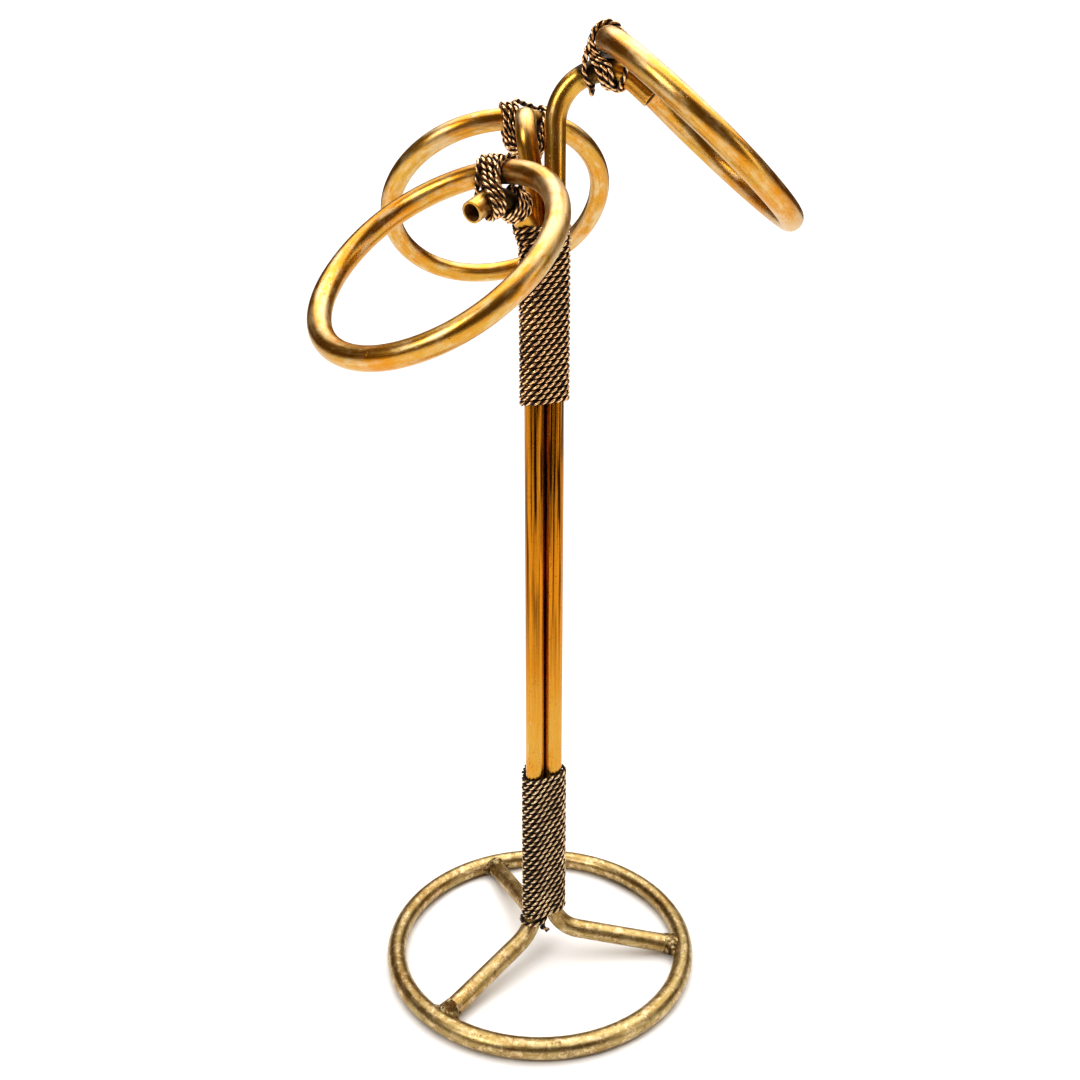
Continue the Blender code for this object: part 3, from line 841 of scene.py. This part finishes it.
def from_stem(place):
    """Level direction from the middle of the stem to a place."""
    out = place - STEM
    out.z = 0
    return out.normalized()


def build_bindings():
    """The lower and the upper binding, each one wire wound round the stem."""
    made = sizes()
    node = {"lower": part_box("lower_binding"), "upper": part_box("upper_binding")}
    low, high = node["lower"][0][2] - 1.2 * MM, node["lower"][1][2] - made.wire
    route = binding_route(low, high, made.lower_turns, tilt=0.10, slack=0.0, seed=3.1)
    mesh = wire_mesh("lower_wire", route, from_stem)
    finish_piece("lower_wire", mesh, "pale_wire", "stand", ["lower_binding"])
    low, high = node["upper"][0][2] + made.wire, node["upper"][1][2] - made.wire
    route = binding_route(low, high, made.upper_turns, tilt=0.06, slack=14 * MM, seed=8.4)
    mesh = wire_mesh("upper_wire", route, from_stem)
    finish_piece("upper_wire", mesh, "wire", "stand", ["upper_binding"])


def build_last_turn():
    """Last turn of the lower binding, round the front tube alone, and the wire's cut tail."""
    made = sizes()
    spec = TUBES["low"]
    low, high = (Vector(corner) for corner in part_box("binding_last_turn"))
    middle = (low + high) / 2
    hug = made.tube + made.wire + 0.25 * MM
    points = []
    steps = 32
    for step in range(steps + 1):
        angle = math.radians(-35 + step * 13)
        height = middle.z - 1.3 * MM + 3.0 * MM * step / steps
        points.append(axis_at(spec, height) + UP * height
                      + Vector((math.cos(angle), math.sin(angle), 0)) * hug)
    tail = points[0]
    points = [tail + Vector((3.4, -0.6, -1.8)) * MM, tail + Vector((2.0, -0.8, -0.4)) * MM] + points
    centre = axis_at(spec, middle.z)
    mesh = wire_mesh("last_turn", resampled(points, BINDING_STEP),
                     lambda place: (place - centre - UP * place.z).normalized())
    finish_piece("last_turn", mesh, "pale_wire", "stand", ["binding_last_turn"])


class Crossing:
    """Places round a lashing, in mm: out along the arm, aside of it, and up from its axis."""

    def __init__(self, spec):
        self.spec = spec
        self.lash = arm_turn_at(spec, spec["lash"] * MM)
        self.place, self.out, self.normal = arm_frame(spec, self.lash)
        self.side = UP.cross(heading(spec["arm"]))

    def at(self, out, aside, up):
        """Follows the arm's bend low down and the ring's curve high up."""
        out, aside, up = out * MM, aside * MM, up * MM
        centre, _, normal = arm_frame(self.spec, self.lash + out)
        low = centre + self.side * aside + normal * up
        radius = self.spec["ring_r"] * MM
        spoke, bar = ring_spoke(self.spec, math.radians(self.spec["round"]) + aside / radius)
        rise = (self.normal - bar * self.normal.dot(bar)).normalized()
        ahead = rise.cross(bar)
        ahead *= 1 if ahead.dot(self.out) > 0 else -1
        high = ring_centre(self.spec) + spoke * radius + ahead * out + rise * (up - STACK)
        part = min(max(up / STACK, 0.0), 1.0)
        return low.lerp(high, part * part * (3 - 2 * part))


# Millimetres, as in a lashing's plan.
RING_HUG = 6.05                 # from the ring's axis to a turn of wire
RING_SWING = 0.0028             # how fast a turn stands off more, for each square of its distance
ARM_HUG = 5.8                   # from the arm's axis to a turn of wire
LOOSE_HUG = 7.1                 # the same for a turn that lies over others
PITCH = 2.45                    # between turns that lie side by side
RING_UP = STACK / MM            # from the arm's axis up to the ring's


def over(start, end, forward):
    """Half turn over the ring from aside start to aside end; forward goes outward.

    Farther aside it stands off a little more, because the ring curves away and swings there."""
    way = 1 if forward else -1
    half = (start + end) / 2
    hug = RING_HUG + RING_SWING * max(start * start, end * end)
    slant = 0.71 * hug
    return [(-way * hug, start, RING_UP),
            (-way * slant, start * 0.8 + end * 0.2, RING_UP + slant), (0, half, RING_UP + hug),
            (way * slant, start * 0.2 + end * 0.8, RING_UP + slant), (way * hug, end, RING_UP)]


def under(start, end, side, hug=ARM_HUG):
    """Half turn under the arm from travel start to travel end, entering on the given side."""
    half, last = (start + end) / 2, (hug + ARM_HUG) / 2
    return [(start, side * hug, 0), (start * 0.8 + end * 0.2, side * 0.71 * hug, -0.71 * hug),
            (half, 0, -last), (start * 0.2 + end * 0.8, -side * 0.71 * ARM_HUG, -0.71 * ARM_HUG),
            (end, -side * ARM_HUG, 0)]


def square_turn(layer):
    """Over the ring on each side of the arm and under the arm on each side of the ring."""
    beside, along = 6.0 + PITCH * layer, RING_HUG + PITCH * layer
    waist = 0.5 * PITCH * layer
    turn = over(beside, beside, True)
    turn += [(RING_HUG + waist, 6.0 + waist, 5)] + under(along, along, 1)
    turn += [(RING_HUG + waist, -6.0 - waist, 5)] + over(-beside, -beside, False)
    turn += [(-RING_HUG - waist, -6.0 - waist, 5)] + under(-along, -along, -1)
    return turn + [(-RING_HUG - waist, 6.0 + waist, 5)]


def flank_turn(layer, near):
    """Over the ring to its inner side, then slantwise across the near flank and under the arm."""
    turn = over(near * (0.5 + 1.2 * layer), near * (3.6 + 2.5 * layer), False)
    turn += [(-5.6 + 1.2 * layer, near * 6.3, 5.0)]
    turn += under(-3.2 + 2.6 * layer, 6.8 + 2.2 * layer, near, LOOSE_HUG)
    return turn + [(7.4 + 0.9 * layer, -near * 6.4, 5.0)]


def breast_turn(layer, near):
    """Over the ring to its outer side, across the arm's back, down its near flank and under it."""
    turn = over(-near * (6.0 + 3.0 * layer), near * (4.8 - 3.3 * layer), True)
    turn += [(6.2 + 1.9 * layer, near * (6.4 - 1.9 * layer), 5.4 + 0.5 * layer)]
    turn += under(6.2 + 2.9 * layer, 2.0 + 2.4 * layer, near, LOOSE_HUG)
    return turn + [(0.4 + layer, -near * 6.3, 3.6), (-4.6, -near * (6.6 + 1.5 * layer), 6.2)]


def saddle_turn(layer):
    """Down both flanks of the arm from the ring's inner side, and round the outside again."""
    beside, spread = 6.1 + PITCH * layer, 1.7 * layer
    turn = over(beside, beside, False) + [(-4.4, 6.3 + spread * 1.2, 5.0)]
    turn += [(-0.6, ARM_HUG + spread, 0.0), (1.0, 4.4 + spread, -4.6), (1.2 + layer, 0, -6.0),
             (1.0, -4.4 - spread, -4.6), (-0.6, -ARM_HUG - spread, 0.0)]
    turn += [(-4.4, -6.3 - spread * 1.2, 5.0)] + over(-beside, -beside, True)
    along = RING_HUG + PITCH * layer
    turn += [(RING_HUG + spread, -6.2 - spread, 5.0)] + under(along, along, -1)
    return turn + [(RING_HUG + spread, 6.2 + spread, 5.0)]


def whipping(first, turns, near):
    """Close turns round the arm alone."""
    steps = [(first - 2.4 * k / 8, math.cos(math.pi * k / 4), math.sin(math.pi * k / 4))
             for k in range(8 * turns)]
    return [(out, near * ARM_HUG * c, -ARM_HUG * s) for out, c, s in steps]


def lashing_plan(name):
    """The turns of each lashing; no two were tied alike."""
    if name == "low":
        plan = whipping(-7.6, 3, -1)[::-1] + square_turn(0)
        plan += [(-7.6, 9.5, 8.5), (-6.4, 7.4, 12.2), (-4.6, 3.6, 15.0)] + breast_turn(0, 1)[2:]
        plan += breast_turn(1, 1) + breast_turn(2, 1)
        return plan + [(-6.2, -13.0, 10.2), (-2.0, -13.6, 15.0)]
    if name == "middle":
        plan = [step for k in (0, 1, 2) for step in saddle_turn(k)]
        plan += over(10.6, 8.6, False)[:2]
        plan += [(-1.6, 5.0, 18.3), (0.0, 0.0, 18.9), (0.8, -5.0, 18.2), (3.8, -9.4, 15.4)]
        return plan + [(6.4, -11.0, 10.0), (6.6, -8.0, 4.0), (6.8, -4.0, -5.2)]
    plan = square_turn(1) + [step for k in (0, 1, 2) for step in flank_turn(k, -1)]
    return [(-7.4, -4.4, -8.0), (-7.9, -3.0, -6.9), (-8.6, 0.8, -6.4)] + plan + [(6.0, 1.0, 14.0)]


def lashing_route(name, spec):
    cross = Crossing(spec)
    return resampled([cross.at(*step) for step in lashing_plan(name)], LASHING_STEP)


def build_lashings():
    """The lashing that holds each ring to its arm."""
    for name, spec in TUBES.items():
        middle = Crossing(spec).at(0, 0, RING_UP / 2)
        mesh = wire_mesh(f"{name}_lashing", lashing_route(name, spec),
                         lambda place: (place - middle).normalized(), shaded=0.12)
        finish_piece(f"{name}_lashing", mesh, "wire", "stand", [f"lashing_{name}"])


# ---------------------------------------------------------------- stage
FLOOR_REACH = 14.0              # half the floor's width, in metres
FLOOR_FRONT = 1.1               # how far the floor reaches in front of the stand
ROOM = (0.105, 0.065, 0.03, 1.0)
PALE = (1.0, 1.0, 1.0, 1.0)
LAMP_TARGET = Vector((0, 0, 0.22))
# Each soft light: its name, place, width, height and power.
LAMPS = (
    ("key_light", (-0.75, -0.75, 1.0), 0.5, 0.5, 5.5),
    ("fill_light", (1.1, -0.6, 0.6), 0.3, 0.8, 2.0),
    ("top_light", (0.1, 0.25, 1.3), 0.8, 0.8, 2.0),
)
SUN_POWER = 3.1
SUN_SPREAD = math.radians(88)
SUN_TURN = (math.radians(-12), math.radians(8), 0)
CAMERA_PLACE = BASE_CENTRE + Vector((0.0, -441.6, 345.8)) * MM
CAMERA_DIP = math.radians(15.68)
CAMERA_LENS = 33.02


def build_stage():
    """Wide pale floor, a dark room with pale walls for the camera, soft lights and the camera."""
    bm = bmesh.new()
    bmesh.ops.create_grid(bm, x_segments=1, y_segments=1, size=FLOOR_REACH)
    bmesh.ops.translate(bm, vec=(0.0, FLOOR_REACH - FLOOR_FRONT, 0.0), verts=bm.verts)
    mesh = bpy.data.meshes.new("stage_floor")
    bm.to_mesh(mesh)
    bm.free()
    made, _, shader = new_material("stage_paper")
    shader.inputs["Base Color"].default_value = (*colours().floor, 1.0)
    shader.inputs["Roughness"].default_value = 0.9
    mesh.materials.append(made)
    floor = bpy.data.objects.new("stage_floor", mesh)
    bpy.context.scene.collection.objects.link(floor)

    world = bpy.data.worlds.new("studio")
    world.use_nodes = True
    tree = world.node_tree
    tree.nodes.clear()
    sky = Maths(tree, None)
    seen = sky.node("ShaderNodeLightPath", None, 0)
    room = sky.node("ShaderNodeBackground", {"Color": ROOM, "Strength": 1.0})
    pale = sky.node("ShaderNodeBackground", {"Color": PALE, "Strength": 1.0})
    both = sky.node("ShaderNodeMixShader", {0: seen, 1: room, 2: pale})
    end = tree.nodes.new("ShaderNodeOutputWorld")
    tree.links.new(both.socket, end.inputs["Surface"])
    bpy.context.scene.world = world

    for name, place, width, height, power in LAMPS:
        lamp = bpy.data.lights.new(name, "AREA")
        lamp.shape = "RECTANGLE"
        lamp.size, lamp.size_y = width, height
        lamp.energy = power
        holder = bpy.data.objects.new(name, lamp)
        holder.location = place
        aim = LAMP_TARGET - Vector(place)
        holder.rotation_euler = aim.to_track_quat("-Z", "Y").to_euler()
        bpy.context.scene.collection.objects.link(holder)

    sun = bpy.data.lights.new("even_light", "SUN")
    sun.energy = SUN_POWER
    sun.angle = SUN_SPREAD
    overhead = bpy.data.objects.new("even_light", sun)
    overhead.rotation_euler = SUN_TURN
    bpy.context.scene.collection.objects.link(overhead)

    lens = bpy.data.cameras.new("front_camera")
    lens.sensor_width = 36.0
    lens.lens = CAMERA_LENS
    lens.clip_start = 0.01
    camera = bpy.data.objects.new("front_camera", lens)
    camera.location = CAMERA_PLACE
    camera.rotation_euler = (math.pi / 2 - CAMERA_DIP, 0, 0)
    bpy.context.scene.collection.objects.link(camera)
    bpy.context.scene.camera = camera
    bpy.context.scene.view_settings.view_transform = "Standard"
    bpy.context.scene.view_settings.look = "Medium High Contrast"


# ---------------------------------------------------------------- operators and panel
class STAND_OT_base_ring(bpy.types.Operator):
    """Make the base ring"""
    bl_idname = "ring_stand.base_ring"
    bl_label = "Base Ring"
    bl_options = {"REGISTER", "UNDO"}

    def execute(self, context):
        build_base_ring()
        return {"FINISHED"}


class STAND_OT_tubes(bpy.types.Operator):
    """Make the three bent tubes"""
    bl_idname = "ring_stand.tubes"
    bl_label = "Stand Tubes"
    bl_options = {"REGISTER", "UNDO"}

    def execute(self, context):
        build_tubes()
        return {"FINISHED"}


class STAND_OT_brazes(bpy.types.Operator):
    """Make the braze at each foot"""
    bl_idname = "ring_stand.brazes"
    bl_label = "Brazed Feet"
    bl_options = {"REGISTER", "UNDO"}

    def execute(self, context):
        build_brazes()
        return {"FINISHED"}


class STAND_OT_bindings(bpy.types.Operator):
    """Wind the wire round the stem"""
    bl_idname = "ring_stand.bindings"
    bl_label = "Stem Bindings"
    bl_options = {"REGISTER", "UNDO"}

    def execute(self, context):
        build_bindings()
        build_last_turn()
        return {"FINISHED"}


class STAND_OT_rings(bpy.types.Operator):
    """Make the three rings"""
    bl_idname = "ring_stand.rings"
    bl_label = "Rings"
    bl_options = {"REGISTER", "UNDO"}

    def execute(self, context):
        build_rings()
        return {"FINISHED"}


class STAND_OT_lashings(bpy.types.Operator):
    """Lash the rings to their arms"""
    bl_idname = "ring_stand.lashings"
    bl_label = "Lashings"
    bl_options = {"REGISTER", "UNDO"}

    def execute(self, context):
        build_lashings()
        return {"FINISHED"}


class STAND_OT_stage(bpy.types.Operator):
    """Make the floor, lights and camera"""
    bl_idname = "ring_stand.stage"
    bl_label = "Stage"
    bl_options = {"REGISTER", "UNDO"}

    def execute(self, context):
        build_stage()
        return {"FINISHED"}


OPERATORS = (STAND_OT_base_ring, STAND_OT_tubes, STAND_OT_brazes, STAND_OT_bindings,
             STAND_OT_rings, STAND_OT_lashings, STAND_OT_stage)


class STAND_PT_panel(bpy.types.Panel):
    """Sizes, colours and building steps of the stand"""
    bl_label = "Ring Stand"
    bl_idname = "STAND_PT_panel"
    bl_space_type = "VIEW_3D"
    bl_region_type = "UI"
    bl_category = "Ring Stand"

    def draw(self, context):
        for group in (context.scene.stand_sizes, context.scene.stand_colours):
            box = self.layout.box()
            for key in group.bl_rna.properties.keys():
                if key not in {"rna_type", "name"}:
                    box.prop(group, key)
        for made in OPERATORS:
            self.layout.operator(made.bl_idname)


CLASSES = (StandSizes, StandColours, *OPERATORS, STAND_PT_panel)


def register():
    for made in CLASSES:
        bpy.utils.register_class(made)
    bpy.types.Scene.stand_sizes = PointerProperty(type=StandSizes)
    bpy.types.Scene.stand_colours = PointerProperty(type=StandColours)


def unregister():
    del bpy.types.Scene.stand_colours
    del bpy.types.Scene.stand_sizes
    for made in reversed(CLASSES):
        bpy.utils.unregister_class(made)


def main():
    register()
    bpy.ops.ring_stand.base_ring()
    bpy.ops.ring_stand.tubes()
    bpy.ops.ring_stand.brazes()
    bpy.ops.ring_stand.bindings()
    bpy.ops.ring_stand.rings()
    bpy.ops.ring_stand.lashings()
    bpy.ops.ring_stand.stage()
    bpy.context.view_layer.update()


if __name__ == "__main__":
    main()
